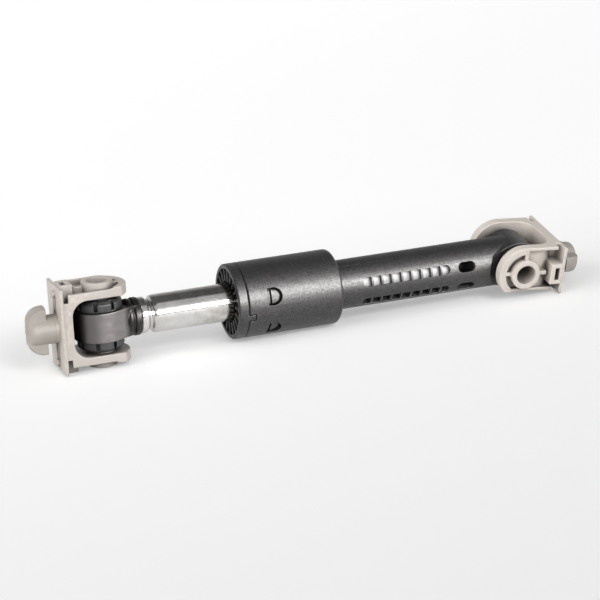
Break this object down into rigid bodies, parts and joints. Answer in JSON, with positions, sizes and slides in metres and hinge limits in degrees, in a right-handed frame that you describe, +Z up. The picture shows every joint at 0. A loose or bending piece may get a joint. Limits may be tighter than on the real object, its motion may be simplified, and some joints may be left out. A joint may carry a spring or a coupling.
{
  "type": "washing machine shock absorber",
  "caption": "Friction damper for a washing machine: steel plunger sliding in a black housing with ladder windows, a pivoting grey clevis with a quarter-turn T-head at each end.",
  "frame": {"origin": "centre of the housing clevis pivot bore, on the damper's axis", "axes": "+X along the damper from the rod end to the housing end, +Z up as the part lies and along the rod pivot; the housing pivot lies 10.2 degrees off +Y, because the damper lies slightly twisted"},
  "size_m": [0.3095, 0.0496, 0.0468],
  "materials": {
    "black_satin_plastic": "satin black moulding with a fine grain",
    "black_gloss_plastic": "glossy black moulding",
    "black_rubber": "dark satin rubber",
    "dark_sleeve_plastic": "plain dark plastic",
    "lining_foam": "greased open-cell foam",
    "bright_steel": "bright zinc-coated steel tube",
    "grey_plastic": "warm light grey moulding, semi-matte"
  },
  "bodies": {
    "housing": {"housing": "black_satin_plastic", "end_cap": "black_satin_plastic", "housing_bush": "black_rubber", "housing_bush_sleeve": "dark_sleeve_plastic", "stop_front": "black_rubber", "stop_rear": "black_rubber"},
    "carrier": {"carrier_upper": "dark_sleeve_plastic", "carrier_lower": "dark_sleeve_plastic"},
    "lining": {"lining_front": "lining_foam", "lining_rear": "lining_foam"},
    "rod": {"plunger_tube": "bright_steel", "tube_guide": "dark_sleeve_plastic", "rod_eye": "black_gloss_plastic", "rod_bush": "black_rubber", "rod_bush_sleeve": "dark_sleeve_plastic"},
    "rod_clevis": {"rod_clevis": "grey_plastic"},
    "housing_clevis": {"housing_clevis": "grey_plastic"}
  },
  "joints": [
    {"name": "carrier_float", "type": "slide", "parent": "housing", "child": "carrier", "axis": [1, 0, 0], "range_m": [-0.0038, 0.0038]},
    {"name": "rod_twist", "type": "hinge", "parent": "carrier", "child": "lining", "pos_m": [-0.1288, 0, 0], "axis": [1, 0, 0], "continuous": true},
    {"name": "rod_slide", "type": "slide", "parent": "lining", "child": "rod", "axis": [1, 0, 0], "range_m": [-0.06, 0.0155]},
    {"name": "rod_clevis_pivot", "type": "hinge", "parent": "rod", "child": "rod_clevis", "pos_m": [-0.232, 0, 0], "axis": [0, 0, 1], "range_deg": [-90, 90]},
    {"name": "housing_clevis_pivot", "type": "hinge", "parent": "housing", "child": "housing_clevis", "pos_m": [0, 0, 0], "axis": [0, 0.9842, 0.1771], "range_deg": [-95.9, 84.1]}
  ]
}
